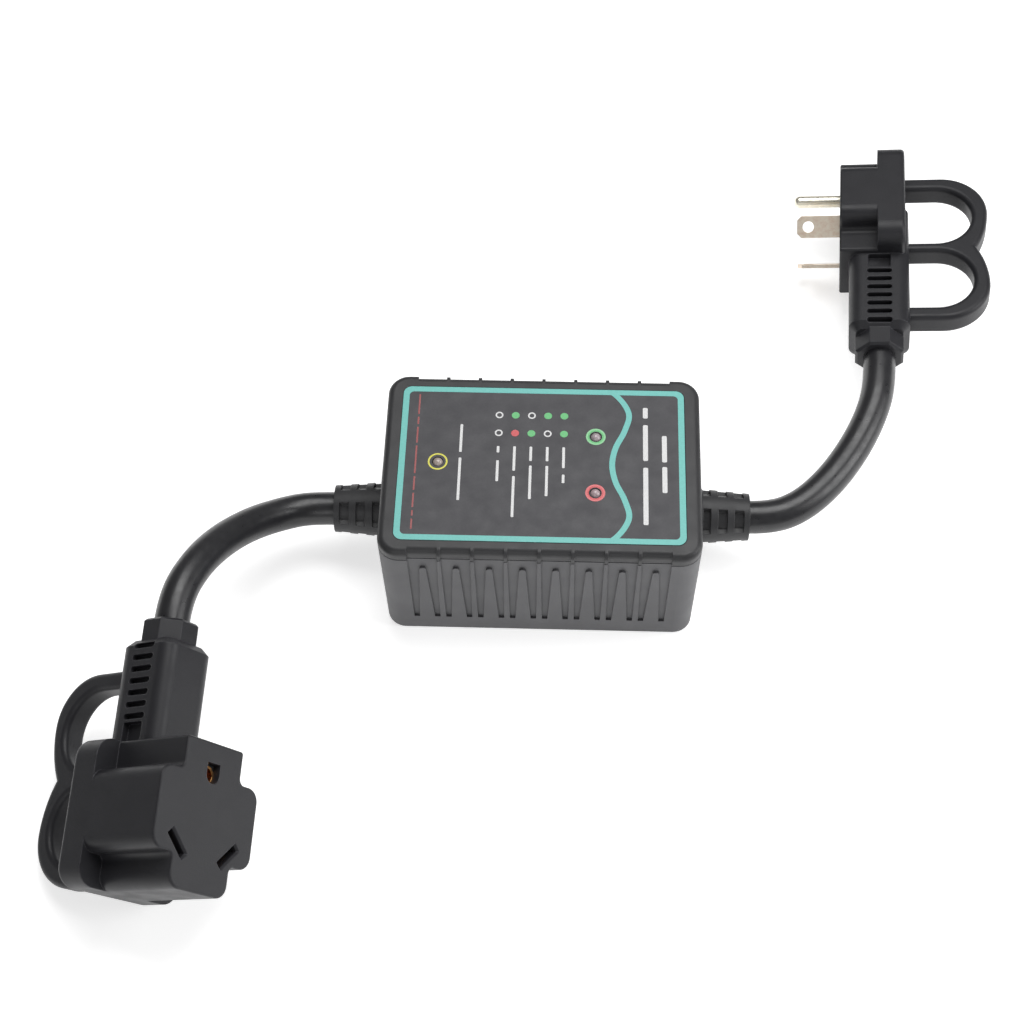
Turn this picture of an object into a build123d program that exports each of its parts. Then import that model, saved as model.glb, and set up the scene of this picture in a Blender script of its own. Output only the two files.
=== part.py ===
from build123d import *
import os
from math import hypot, pi, radians, tan

os.makedirs("parts", exist_ok=True)

# ---------------------------------------------------------------------------
# Driving dimensions, in millimetres. +X runs from the receptacle side to the
# plug side, +Y to the back, +Z up; the origin is under the middle of the case.
# ---------------------------------------------------------------------------

# Case
case_length = 148.0
case_width = 100.0
case_height = 71.0
cover_height = 6.0
corner_radius = 10.0
case_draft = 0.8
wall = 4.2
floor = 3.0
foot_radius = 1.2
cover_roof = 2.6
cover_edge_radius = 3.1
lip_depth = 2.5
lip_wall = 1.6
fit_gap = 0.2
seam_height = 0.6
seam_depth = 1.6
overcut = 1.0

# Gasket in a groove in the base's rim
gasket_inset = 0.7
gasket_width = 1.5
gasket_depth = 1.2

# Ribbed fields on the front and back walls
panel_count = 8
field_margin = 13.2
panel_bottom = 11.5
recess_depth = 1.2
rib_top = 1.6
rib_bottom = 2.8
tongue_top = 3.0
tongue_bottom = 7.4
tongue_drop = 7.0

# Label
label_end_margin = 7.5
label_side_margin = 7.3
label_radius = 4.0
label_thickness = 0.45

# Indicators, standing through the cover
led_radius = 2.5
led_gap = 0.1
led_flange_radius = 2.9
led_flange = 1.0
led_proud = 1.2
led_height = 9.3
led_pin_offset = 1.27
led_x = 25.0
led_y = 15.6
amber_led_inset = 18.2
spacer_bore = 2.0
lead_radius = 0.3
lead_stub = 1.5

# Circuit board and what it carries
board_end_gap = 15.8
board_side_gap = 3.8
board_radius = 2.0
board_thickness = 1.6
board_headroom = 26.8
standoff_radius = 3.5
board_screw_end = 5.0
board_screw_side = 6.0
board_screw_radius = 1.45
board_screw_length = 10.0
board_screw_gap = 0.1
board_screw_head_radius = 2.7
board_screw_head = 2.0
varistor_radius = 9.0
varistor_thickness = 5.0
varistor_round = 1.5
varistor_lift = 1.5
varistor_x = -10.0
varistor_pitch = 22.0
varistor_pin_offset = 3.75
fuse_radius = 2.0
fuse_length = 12.0
fuse_offset = 14.0
resistor_radius = 1.2
resistor_length = 6.4
resistor_offset = 9.0

# Case screws, driven from below
boss_end = 12.0
boss_side = 13.5
boss_radius = 5.5
boss_drop = 13.0
boss_roof = 8.0
post_radius = 4.5
screw_radius = 1.75
screw_gap = 0.15
screw_head_radius = 3.4
screw_head_gap = 0.3
screw_head_height = 2.4
screw_length = 19.0
drive_length = 4.2
drive_width = 0.9
drive_depth = 1.4

# Cords and their strain reliefs
cord_diameter = 16.0
relief_height = 28.0
relief_flange_radius = 16.0
relief_flange = 2.4
relief_flange_round = 0.8
relief_length = 23.2
relief_start_radius = 13.2
relief_end_radius = 11.3
relief_core_drop = 2.6
relief_strip = 7.0
relief_neck_radius = 9.5
relief_nut_radius = 13.0
relief_nut = 3.0
relief_windows = ((0.8, 4.4), (8.0, 12.4), (15.8, 20.4))

# Through conductors
bar_end_space = 84.0
bar_width = 8.0
bar_height = 3.0
bar_pitch = 20.0
bar_chamfer = 0.4
block_end = 5.0
block_width = 62.0
block_height = 6.0
block_radius = 3.0
link_radius = 0.9
conductor_radius = 2.2
conductor_pitch = 5.5
conductor_bend = 4.5
conductor_straight = 8.0
conductor_spread = 19.0
conductor_spread_pitch = 16.0
conductor_drop = 9.0

# Plug and receptacle heads, in their own frame: +X back from the contact face,
# +Y towards the cord, +Z across the width.
head_height = 64.0
head_width = 59.0
head_tab = 34.5
head_wide = 35.5
head_round = 6.0
head_cord_round = 1.4
head_notch_round = 3.0
face_round = 1.0
slab_depth = 14.0
slab_radius = 9.0
slab_edge = 2.2
arm_depth = 30.5
arm_width = 29.0
arm_round = 6.5
arm_end = 79.5
arm_chamfer = 3.4
collar_flats = 24.0
collar_length = 10.0
collar_chamfer = 1.2
collar_root = 1.0
handle_width = 12.4
handle_drop = 3.5
handle_inset = 11.0
handle_reach = 43.0
handle_waist = 36.8
handle_corner = 24.0
handle_bar = 8.2
handle_middle_bar = 5.8
handle_edge = 2.6
handle_root = 8.0
handle_gap = 1.0
grip_slots = 7
grip_slot_pitch = 5.37
grip_slot_length = 12.6
grip_slot_width = 2.7
grip_slot_depth = 3.5
grip_slot_inset = 3.7
grip_pocket_length = 8.4
grip_pocket_width = 11.4
grip_pocket_gap = 0.5
grip_pocket_round = 1.0

plug_block_depth = 19.2
plug_arm_axis = 20.2
receptacle_block_depth = 41.0
receptacle_arm_axis = 38.0

# Contact pattern of the 30 A travel-trailer connector
ground_offset = 18.2
contact_pitch = 32.0
contact_spread = 15.3
ground_radius = 3.25
ground_length = 24.3
blade_width = 11.4
blade_thickness = 1.8
blade_length = 22.0
blade_hole_radius = 2.9
blade_hole_inset = 5.8
blade_chamfer = 2.2
contact_root = 9.0
entry_gap = 0.6
lead_in = 0.9
ground_entry_drop = 5.0
spring_thickness = 1.2
contact_inset = 0.5
contact_end = 2.0
contact_recess = 4.0
pin_gap = 0.1
face_wall = 4.0
core_wall = 1.0
plug_core_depth = 11.0
receptacle_core_depth = 22.0
receptacle_contact_length = 18.0

case_parting = case_height - cover_height
panel_pitch = (case_length - 2 * field_margin) / panel_count
label_length = case_length - 2 * label_end_margin
label_width = case_width - 2 * label_side_margin
amber_led_x = amber_led_inset - label_length / 2
led_places = {"green": (led_x, led_y), "red": (led_x, -led_y), "amber": (amber_led_x, 0.0)}
cavity_length = case_length - 2 * wall
cavity_width = case_width - 2 * wall
cavity_radius = corner_radius - wall
board_length = cavity_length - 2 * board_end_gap
board_width = cavity_width - 2 * board_side_gap
board_top = case_height - cover_roof - board_headroom
board_height = board_top - board_thickness
board_screw_x = board_length / 2 - board_screw_end
board_screw_y = board_width / 2 - board_screw_side
boss_x = case_length / 2 - boss_end
boss_y = case_width / 2 - boss_side
boss_top = case_parting - boss_drop
screw_seat = boss_top - boss_roof
bar_length = case_length - bar_end_space
block_length = bar_length - 2 * block_end
handle_start = handle_drop - head_height / 2
handle_end = arm_end - handle_inset
notch_distance = hypot(head_wide / 2, head_tab / 2)
core_radius = notch_distance - core_wall
boss_places = [(x, y) for x in (-boss_x, boss_x) for y in (-boss_y, boss_y)]
board_places = [(x, y) for x in (-board_screw_x, board_screw_x) for y in (-board_screw_y, board_screw_y)]
varistor_places = [(varistor_x, i * varistor_pitch) for i in (-1, 0, 1)]
conductor_rows = (-1, 0, 1)

# ---------------------------------------------------------------------------
# Case
# ---------------------------------------------------------------------------


def wall_plane(side):
    """The outer face of the front (-1) or back (1) wall, with its local y up the wall."""
    tilt = radians(case_draft)
    return Plane(
        origin=(0, side * case_width / 2, case_parting),
        x_dir=(-side, 0, 0),
        z_dir=(0, side, -tan(tilt)),
    )


relief_seat = fit_gap + tan(radians(case_draft)) * (case_parting - relief_height + relief_flange_radius)


def relief_plane(side):
    """The plane of the left (-1) or right (1) end wall at the cord's axis, facing outwards."""
    return Plane(origin=(side * case_length / 2, 0, relief_height), x_dir=(0, side, 0), z_dir=(side, 0, 0))


def around_cavity(margin):
    """The length, width and corner radius of the cavity's outline moved outwards by a margin."""
    return cavity_length + 2 * margin, cavity_width + 2 * margin, cavity_radius + margin


def gasket_ring(mode):
    """The gasket's ring, or with SUBTRACT its groove, in the base's rim."""
    with BuildSketch(Plane.XY.offset(case_parting)) as ring:
        RectangleRounded(*around_cavity(gasket_inset + gasket_width))
        RectangleRounded(*around_cavity(gasket_inset), mode=Mode.SUBTRACT)
    extrude(ring.sketch, amount=-gasket_depth, mode=mode)


with BuildPart() as case_base:
    with BuildSketch(Plane.XY.offset(case_parting)):
        RectangleRounded(case_length, case_width, corner_radius)
    extrude(amount=-case_parting, taper=case_draft)
    fillet(case_base.faces().sort_by(Axis.Z)[0].edges(), foot_radius)
    with BuildSketch(Plane.XY.offset(floor)):
        RectangleRounded(*around_cavity(0))
    extrude(amount=case_parting, mode=Mode.SUBTRACT)
    # Recessed panels: each is wide at the top and has a tongue standing in it
    for side in (-1, 1):
        panel_height = case_parting - panel_bottom
        with BuildSketch(wall_plane(side)):
            for i in range(panel_count):
                centre = (i - (panel_count - 1) / 2) * panel_pitch
                top = (panel_pitch - rib_top) / 2
                bottom = (panel_pitch - rib_bottom) / 2
                with BuildLine():
                    Polyline(
                        (centre - top, 0),
                        (centre + top, 0),
                        (centre + bottom, -panel_height),
                        (centre - bottom, -panel_height),
                        close=True,
                    )
                make_face()
                with BuildLine(mode=Mode.PRIVATE) as tongue_outline:
                    foot = -panel_height - overcut
                    shoulder = -tongue_drop - tongue_top / 2
                    Polyline(
                        (centre - tongue_top / 2, shoulder),
                        (centre - tongue_bottom / 2, foot),
                        (centre + tongue_bottom / 2, foot),
                        (centre + tongue_top / 2, shoulder),
                    )
                    ThreePointArc(
                        (centre + tongue_top / 2, shoulder),
                        (centre, -tongue_drop),
                        (centre - tongue_top / 2, shoulder),
                    )
                make_face(tongue_outline.edges(), mode=Mode.SUBTRACT)
        extrude(amount=-recess_depth, mode=Mode.SUBTRACT)
    gasket_ring(Mode.SUBTRACT)
    # Shadow groove under the cover's edge
    with BuildSketch(Plane.XY.offset(case_parting)):
        RectangleRounded(case_length + overcut, case_width + overcut, corner_radius)
        RectangleRounded(*around_cavity(wall - seam_depth), mode=Mode.SUBTRACT)
    extrude(amount=-seam_height, mode=Mode.SUBTRACT)
    # Screw bosses and board standoffs
    with BuildSketch(Plane.XY.offset(floor)):
        with Locations(*boss_places):
            Circle(boss_radius)
    extrude(amount=boss_top - floor)
    with BuildSketch(Plane.XY.offset(floor)):
        with Locations(*board_places):
            Circle(standoff_radius)
    extrude(amount=board_height - floor)
    with BuildSketch():
        with Locations(*boss_places):
            Circle(screw_head_radius + screw_head_gap)
    extrude(amount=screw_seat, mode=Mode.SUBTRACT)
    with BuildSketch(Plane.XY.offset(screw_seat)):
        with Locations(*boss_places):
            Circle(screw_radius + screw_gap)
    extrude(amount=boss_top - screw_seat, mode=Mode.SUBTRACT)
    with BuildSketch(Plane.XY.offset(board_height)):
        with Locations(*board_places):
            Circle(board_screw_radius)
    extrude(amount=-board_screw_length, mode=Mode.SUBTRACT)
    # Cord openings in both end walls
    for side in (-1, 1):
        with BuildSketch(relief_plane(side).offset(overcut)):
            Circle(relief_neck_radius)
        extrude(amount=-wall - 2 * overcut, mode=Mode.SUBTRACT)
        # Flat seat for the strain relief's flange in the drafted wall
        with BuildSketch(relief_plane(side).offset(overcut)):
            Circle(relief_flange_radius)
        extrude(amount=-relief_seat - overcut, mode=Mode.SUBTRACT)
case_base.part.label = "case_base"
export_step(case_base.part, "parts/case_base.step")

with BuildPart() as case_cover:
    with BuildSketch(Plane.XY.offset(case_parting)):
        RectangleRounded(case_length, case_width, corner_radius)
    extrude(amount=cover_height)
    fillet(case_cover.edges().group_by(Axis.Z)[-1], cover_edge_radius)
    with BuildSketch(Plane.XY.offset(case_parting)):
        RectangleRounded(*around_cavity(0))
    extrude(amount=cover_height - cover_roof, mode=Mode.SUBTRACT)
    # The panels are cut back between the ribs, edge rounding and all
    panel_face = case_width / 2 - recess_depth
    for side in (-1, 1):
        for i in range(panel_count):
            start = (i - panel_count / 2) * panel_pitch + rib_top / 2
            with BuildSketch(Plane.YZ.offset(start)):
                with BuildLine():
                    Polyline(
                        (side * panel_face, case_height - cover_edge_radius),
                        (side * panel_face, case_parting - overcut),
                        (side * (case_width / 2 + overcut), case_parting - overcut),
                        (side * (case_width / 2 + overcut), case_height + overcut),
                        (side * (panel_face - cover_edge_radius), case_height + overcut),
                        (side * (panel_face - cover_edge_radius), case_height),
                    )
                    RadiusArc(
                        (side * (panel_face - cover_edge_radius), case_height),
                        (side * panel_face, case_height - cover_edge_radius),
                        side * cover_edge_radius,
                    )
                make_face()
            extrude(amount=panel_pitch - rib_top, mode=Mode.SUBTRACT)
    # Locating lip, standing in the base
    with BuildSketch(Plane.XY.offset(case_parting - lip_depth)):
        RectangleRounded(*around_cavity(-fit_gap))
        RectangleRounded(*around_cavity(-fit_gap - lip_wall), mode=Mode.SUBTRACT)
    extrude(amount=lip_depth + cover_height - cover_roof)
    # Posts that take the case screws
    with BuildSketch(Plane.XY.offset(boss_top)):
        with Locations(*boss_places):
            Circle(post_radius)
    extrude(amount=case_height - cover_roof - boss_top)
    with BuildSketch(Plane.XY.offset(boss_top)):
        with Locations(*boss_places):
            Circle(screw_radius)
    extrude(amount=screw_seat + screw_length - boss_top, mode=Mode.SUBTRACT)
    # Pocket for the label, and the indicator holes
    with BuildSketch(Plane.XY.offset(case_height)):
        RectangleRounded(label_length + 2 * fit_gap, label_width + 2 * fit_gap, label_radius + fit_gap)
    extrude(amount=-label_thickness, mode=Mode.SUBTRACT)
    with BuildSketch(Plane.XY.offset(case_height)):
        with Locations(*led_places.values()):
            Circle(led_radius + led_gap)
    extrude(amount=-cover_height, mode=Mode.SUBTRACT)
case_cover.part.label = "case_cover"
export_step(case_cover.part, "parts/case_cover.step")

with BuildPart() as cover_gasket:
    gasket_ring(Mode.ADD)
cover_gasket.part.label = "cover_gasket"
export_step(cover_gasket.part, "parts/cover_gasket.step")

with BuildPart() as label_plate:
    with BuildSketch(Plane.XY.offset(case_height - label_thickness)):
        RectangleRounded(label_length, label_width, label_radius)
        with Locations(*led_places.values()):
            Circle(led_radius + led_gap, mode=Mode.SUBTRACT)
    extrude(amount=label_thickness)
label_plate.part.label = "label_plate"
export_step(label_plate.part, "parts/label_plate.step")

with BuildPart() as case_screws:
    with BuildSketch(Plane.XY.offset(screw_seat)):
        with Locations(*boss_places):
            Circle(screw_head_radius)
    extrude(amount=-screw_head_height)
    with BuildSketch(Plane.XY.offset(screw_seat - screw_head_height)):
        with Locations(*boss_places):
            Rectangle(drive_length, drive_width)
            Rectangle(drive_width, drive_length)
    extrude(amount=drive_depth, mode=Mode.SUBTRACT)
    with BuildSketch(Plane.XY.offset(screw_seat)):
        with Locations(*boss_places):
            Circle(screw_radius)
    extrude(amount=screw_length)
case_screws.part.label = "case_screws"
export_step(case_screws.part, "parts/case_screws.step")

# ---------------------------------------------------------------------------
# Circuit board and components
# ---------------------------------------------------------------------------

fuse_places = [(x + fuse_offset, y) for x, y in varistor_places]
resistor_places = [(x + resistor_offset, y) for x, y in led_places.values()]


def lead_places(place, offset, across):
    """Two leads, each side of a place, along X or (across) along Y."""
    x, y = place
    if across:
        return [(x, y - offset), (x, y + offset)]
    return [(x - offset, y), (x + offset, y)]


def lying_cylinder(place, radius, length):
    """A component's round body lying on the board along Y."""
    with BuildSketch(Plane.XZ.offset(-place[1] - length / 2)) as body:
        with Locations((place[0], board_top + radius)):
            Circle(radius)
    extrude(body.sketch, amount=length)


with BuildPart() as circuit_board:
    with BuildSketch(Plane.XY.offset(board_height)):
        RectangleRounded(board_length, board_width, board_radius)
        with Locations(*board_places):
            Circle(board_screw_radius + board_screw_gap, mode=Mode.SUBTRACT)
        for place in led_places.values():
            with Locations(*lead_places(place, led_pin_offset, False)):
                Circle(lead_radius, mode=Mode.SUBTRACT)
        for place in varistor_places:
            with Locations(*lead_places(place, varistor_pin_offset, True)):
                Circle(lead_radius, mode=Mode.SUBTRACT)
    extrude(amount=board_thickness)
circuit_board.part.label = "circuit_board"
export_step(circuit_board.part, "parts/circuit_board.step")

with BuildPart() as board_screws:
    with BuildSketch(Plane.XY.offset(board_top)):
        with Locations(*board_places):
            Circle(board_screw_head_radius)
    extrude(amount=board_screw_head)
    with BuildSketch(Plane.XY.offset(board_top)):
        with Locations(*board_places):
            Circle(board_screw_radius)
    extrude(amount=-board_screw_length)
board_screws.part.label = "board_screws"
export_step(board_screws.part, "parts/board_screws.step")

led_tip = case_height + led_proud
led_base = led_tip - led_height

for colour, place in led_places.items():
    with BuildPart() as led:
        with BuildSketch(Plane.XY.offset(led_base)):
            with Locations(place):
                Circle(led_flange_radius)
        extrude(amount=led_flange)
        with BuildSketch(Plane.XY.offset(led_base + led_flange)):
            with Locations(place):
                Circle(led_radius)
        extrude(amount=led_tip - led_base - led_flange)
        fillet(led.edges().group_by(Axis.Z)[-1], led_radius * 0.96)
        with BuildSketch(Plane.XY.offset(led_base)):
            with Locations(*lead_places(place, led_pin_offset, False)):
                Circle(lead_radius)
        extrude(amount=board_height - lead_stub - led_base)
    led.part.label = f"{colour}_led"
    export_step(led.part, f"parts/{colour}_led.step")

with BuildPart() as led_spacers:
    with BuildSketch(Plane.XY.offset(board_top)):
        with Locations(*led_places.values()):
            Circle(led_flange_radius)
            Circle(spacer_bore, mode=Mode.SUBTRACT)
    extrude(amount=led_base - board_top)
led_spacers.part.label = "led_spacers"
export_step(led_spacers.part, "parts/led_spacers.step")

varistor_centre = board_top + varistor_lift + varistor_radius
varistor_names = ("line_neutral_varistor", "line_ground_varistor", "neutral_ground_varistor")
for place, name in zip(varistor_places, varistor_names):
    with BuildPart() as varistor:
        with BuildSketch(Plane.YZ.offset(place[0] - varistor_thickness / 2)):
            with Locations((place[1], varistor_centre)):
                Circle(varistor_radius)
        extrude(amount=varistor_thickness)
        fillet(varistor.edges().filter_by(GeomType.CIRCLE), varistor_round)
        with BuildSketch(Plane.XY.offset(varistor_centre)):
            with Locations(*lead_places(place, varistor_pin_offset, True)):
                Circle(lead_radius)
        extrude(amount=board_height - lead_stub - varistor_centre)
    varistor.part.label = name
    export_step(varistor.part, f"parts/{name}.step")

with BuildPart() as thermal_fuses:
    for place in fuse_places:
        lying_cylinder(place, fuse_radius, fuse_length)
thermal_fuses.part.label = "thermal_fuses"
export_step(thermal_fuses.part, "parts/thermal_fuses.step")

with BuildPart() as led_resistors:
    for place in resistor_places:
        lying_cylinder(place, resistor_radius, resistor_length)
led_resistors.part.label = "led_resistors"
export_step(led_resistors.part, "parts/led_resistors.step")

# ---------------------------------------------------------------------------
# Through conductors: cord, bar, cord
# ---------------------------------------------------------------------------

bar_bottom = floor + block_height

with BuildPart() as terminal_block:
    with BuildSketch(Plane.XY.offset(floor)):
        RectangleRounded(block_length, block_width, block_radius)
    extrude(amount=block_height)
terminal_block.part.label = "terminal_block"
export_step(terminal_block.part, "parts/terminal_block.step")

bar_names = {-1: "neutral_bar", 0: "ground_bar", 1: "line_bar"}
for row, name in bar_names.items():
    with BuildPart() as bar:
        with BuildSketch(Plane.XY.offset(bar_bottom)):
            with Locations((0, row * bar_pitch)):
                Rectangle(bar_length, bar_width)
        extrude(amount=bar_height)
        chamfer(bar.edges().group_by(Axis.Z)[-1], bar_chamfer)
    bar.part.label = name
    export_step(bar.part, f"parts/{name}.step")

with BuildPart() as board_links:
    with BuildSketch(Plane.XY.offset(bar_bottom + bar_height)):
        with Locations(*[(0, row * bar_pitch) for row in conductor_rows]):
            Circle(link_radius)
    extrude(amount=board_height - bar_bottom - bar_height)
board_links.part.label = "board_links"
export_step(board_links.part, "parts/board_links.step")


def conductors(side):
    """Three insulated wires from a strain relief's inner face to the ends of the bars."""
    start = case_length / 2 - wall - relief_nut
    level = bar_bottom + bar_height / 2
    bend_height = relief_height - conductor_drop
    for row in conductor_rows:
        route = [
            (side * start, row * conductor_pitch, relief_height),
            (side * (start - conductor_straight), row * conductor_pitch, relief_height),
            (side * (start - conductor_spread), row * conductor_spread_pitch, bend_height),
            (side * (bar_length / 2 + conductor_straight), row * bar_pitch, level),
            (side * bar_length / 2, row * bar_pitch, level),
        ]
        with BuildLine():
            path = FilletPolyline(*route, radius=conductor_bend)
        with BuildSketch(Plane(origin=path @ 0, z_dir=path % 0)) as wire:
            Circle(conductor_radius)
        sweep(wire.sketch, path=path)


with BuildPart() as supply_conductors:
    conductors(1)
supply_conductors.part.label = "supply_conductors"
export_step(supply_conductors.part, "parts/supply_conductors.step")

with BuildPart() as load_conductors:
    conductors(-1)
load_conductors.part.label = "load_conductors"
export_step(load_conductors.part, "parts/load_conductors.step")

# ---------------------------------------------------------------------------
# Strain reliefs
# ---------------------------------------------------------------------------


def relief_radius(distance):
    """The sleeve's outer radius at a distance from the flange."""
    return relief_start_radius + (relief_end_radius - relief_start_radius) * distance / relief_length


def strain_relief(side):
    """A moulded sleeve on a flange: three rows of windows round a tapered core, four solid strips."""
    plane = relief_plane(side)
    with BuildSketch(plane.offset(-relief_seat)) as flange:
        Circle(relief_flange_radius)
    extrude(flange.sketch, amount=relief_seat + relief_flange)
    fillet(faces().sort_by(Axis.X)[-1 if side > 0 else 0].edges(), relief_flange_round)
    with BuildSketch(plane.offset(relief_flange)) as sleeve_start:
        Circle(relief_start_radius)
    with BuildSketch(plane.offset(relief_flange + relief_length)) as sleeve_end:
        Circle(relief_end_radius)
    loft([sleeve_start.sketch, sleeve_end.sketch])
    for start, end in relief_windows:
        with BuildSketch(plane.offset(relief_flange + start)) as window:
            Circle(relief_start_radius + overcut)
            Circle(relief_radius(start) - relief_core_drop, mode=Mode.SUBTRACT)
            Rectangle(relief_strip, 4 * relief_start_radius, mode=Mode.SUBTRACT)
            Rectangle(4 * relief_start_radius, relief_strip, mode=Mode.SUBTRACT)
        extrude(window.sketch, amount=end - start, mode=Mode.SUBTRACT)
    with BuildSketch(plane) as neck:
        Circle(relief_neck_radius)
    extrude(neck.sketch, amount=-wall)
    with BuildSketch(plane.offset(-wall)) as nut:
        Circle(relief_nut_radius)
    extrude(nut.sketch, amount=-relief_nut)


with BuildPart() as supply_strain_relief:
    strain_relief(1)
supply_strain_relief.part.label = "supply_strain_relief"
export_step(supply_strain_relief.part, "parts/supply_strain_relief.step")

with BuildPart() as load_strain_relief:
    strain_relief(-1)
load_strain_relief.part.label = "load_strain_relief"
export_step(load_strain_relief.part, "parts/load_strain_relief.step")

# ---------------------------------------------------------------------------
# Heads: the plug and the receptacle share one moulded shape
# ---------------------------------------------------------------------------

# Where the heads lie: the middle of the contact face, then turns about Z, Y and X
plug_place = Location((154.6, 182.5, 30.1), (0, 0, 0))
plug_turn = (-3.9, -7.5, 178.6)
receptacle_place = Location((-136.8, -174.2, 58.4), (0, 0, 0))
receptacle_turn = (170.0, 32.1, 166.3)


def lying(place, turn):
    """The location of a head turned about Z, then its own Y, then its own X."""
    about_z, about_y, about_x = turn
    return (
        place
        * Location((0, 0, 0), (0, 0, about_z))
        * Location((0, 0, 0), (0, about_y, 0))
        * Location((0, 0, 0), (about_x, 0, 0))
    )


plug_location = lying(plug_place, plug_turn)
receptacle_location = lying(receptacle_place, receptacle_turn)


def head_body(block_depth, arm_axis):
    """Contact block with notched corners, square slab, cord arm and octagonal collar."""
    with BuildSketch(Plane.YZ) as block:
        Rectangle(head_height, head_tab)
        Rectangle(head_wide, head_width)
        outer = block.vertices().filter_by(lambda v: hypot(v.X, v.Y) > notch_distance + fit_gap)
        by_cord = outer.filter_by(lambda v: v.X > head_wide / 2 + fit_gap)
        fillet(by_cord, head_cord_round)
        outer = block.vertices().filter_by(
            lambda v: hypot(v.X, v.Y) > notch_distance + fit_gap and v.X < head_wide / 2 + fit_gap
        )
        fillet(outer, head_round)
        inner = block.vertices().filter_by(lambda v: hypot(v.X, v.Y) < notch_distance + fit_gap)
        fillet(inner, head_notch_round)
    extrude(block.sketch, amount=block_depth)
    fillet(faces().sort_by(Axis.X)[0].edges(), face_round)
    with BuildSketch(Plane.YZ.offset(block_depth)) as slab:
        RectangleRounded(head_height, head_width, slab_radius)
    extrude(slab.sketch, amount=slab_depth)
    fillet(faces().sort_by(Axis.X)[-1].edges(), slab_edge)
    with BuildPart(mode=Mode.PRIVATE) as arm:
        with BuildSketch(Plane.XZ):
            with Locations((arm_axis, 0)):
                RectangleRounded(arm_depth, arm_width, arm_round)
        extrude(amount=-arm_end)
        chamfer(arm.faces().sort_by(Axis.Y)[-1].edges(), arm_chamfer)
        with BuildSketch(Plane.XZ.offset(collar_root - arm_end)):
            with Locations((arm_axis, 0)):
                RegularPolygon(collar_flats / 2, 8, major_radius=False, rotation=22.5)
        extrude(amount=-collar_length - collar_root)
        chamfer(arm.faces().sort_by(Axis.Y)[-1].edges(), collar_chamfer)
    add(arm.part)


def handle(slab_end):
    """Two finger loops, one above the other, standing off the back of the head."""
    middle = (handle_start + handle_end) / 2
    reach = slab_end + handle_reach
    waist = slab_end + handle_waist
    corner = reach - handle_corner
    root = slab_end - handle_root
    bulge_rise = reach - waist
    bulge_run = middle - handle_start - handle_corner
    bulge = (bulge_rise**2 + bulge_run**2) / (2 * bulge_rise)
    with BuildPart(mode=Mode.PRIVATE) as loops:
        with BuildSketch(Plane.XY.offset(-handle_width / 2)):
            with BuildLine():
                Line((root, handle_end), (root, handle_start))
                Line((root, handle_start), (corner, handle_start))
                RadiusArc((corner, handle_start), (reach, handle_start + handle_corner), -handle_corner)
                RadiusArc((reach, handle_start + handle_corner), (waist, middle), -bulge)
                RadiusArc((waist, middle), (reach, handle_end - handle_corner), -bulge)
                RadiusArc((reach, handle_end - handle_corner), (corner, handle_end), -handle_corner)
                Line((corner, handle_end), (root, handle_end))
            make_face()
            for low, high in (
                (handle_start + handle_bar, middle - handle_middle_bar / 2),
                (middle + handle_middle_bar / 2, handle_end - handle_bar),
            ):
                hole_end = reach - handle_bar
                straight = hole_end - (high - low) / 2
                with BuildLine(mode=Mode.PRIVATE) as hole:
                    Line((straight, low), (slab_end + handle_gap, low))
                    Line((slab_end + handle_gap, low), (slab_end + handle_gap, high))
                    Line((slab_end + handle_gap, high), (straight, high))
                    ThreePointArc((straight, high), (hole_end, (low + high) / 2), (straight, low))
                make_face(hole.edges(), mode=Mode.SUBTRACT)
        extrude(amount=handle_width)
        rims = loops.edges().filter_by(lambda e: abs(abs(e.center().Z) - handle_width / 2) < 0.01)
        fillet(rims.filter_by(lambda e: e.center().X > root + handle_gap), handle_edge)
    add(loops.part)


def grip_slots_cut(arm_axis):
    """Grip slots and a pocket in both wide faces of the arm."""
    for side in (-1, 1):
        plane = Plane(origin=(0, 0, side * arm_width / 2), x_dir=(1, 0, 0), z_dir=(0, 0, side))
        with BuildSketch(plane) as grip:
            for i in range(grip_slots):
                with Locations((arm_axis, side * (arm_end - grip_slot_inset - i * grip_slot_pitch))):
                    SlotOverall(grip_slot_length, grip_slot_width)
            with Locations((arm_axis, side * (head_height / 2 + grip_pocket_gap + grip_pocket_length / 2))):
                RectangleRounded(grip_pocket_width, grip_pocket_length, grip_pocket_round)
        extrude(grip.sketch, amount=-grip_slot_depth, mode=Mode.SUBTRACT)


def blade_plane(which, side, depth=0.0):
    """The plane across one blade at a depth, its local x along the blade's width, at 45 degrees."""
    return Plane(
        origin=(depth, -side * (contact_pitch - ground_offset), which * contact_spread),
        x_dir=(0, side, which),
        z_dir=(1, 0, 0),
    )


def core_disc(depth, mode=Mode.ADD):
    """The round insert that holds the contacts, or with SUBTRACT its seat in the moulding."""
    with BuildSketch(Plane.YZ.offset(face_wall)) as outline:
        Circle(core_radius)
    extrude(outline.sketch, amount=depth, mode=mode)


def ground_circle(side, start, radius, depth, mode=Mode.ADD):
    """A round bar or hole on the ground contact's axis."""
    with BuildSketch(Plane.YZ.offset(start)) as round_section:
        with Locations((side * ground_offset, 0)):
            Circle(radius)
    extrude(round_section.sketch, amount=depth, mode=mode)


def blade_bar(which, side, start, width, thickness, depth, mode=Mode.ADD):
    """A flat bar or slot on one blade's axis."""
    with BuildSketch(blade_plane(which, side, start)) as flat_section:
        Rectangle(width, thickness)
    extrude(flat_section.sketch, amount=depth, mode=mode)


# The plug's ground pin is away from the cord, the receptacle's is next to it
plug_side = -1
receptacle_side = 1
blade_names = {-1: "line", 1: "neutral"}

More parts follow.
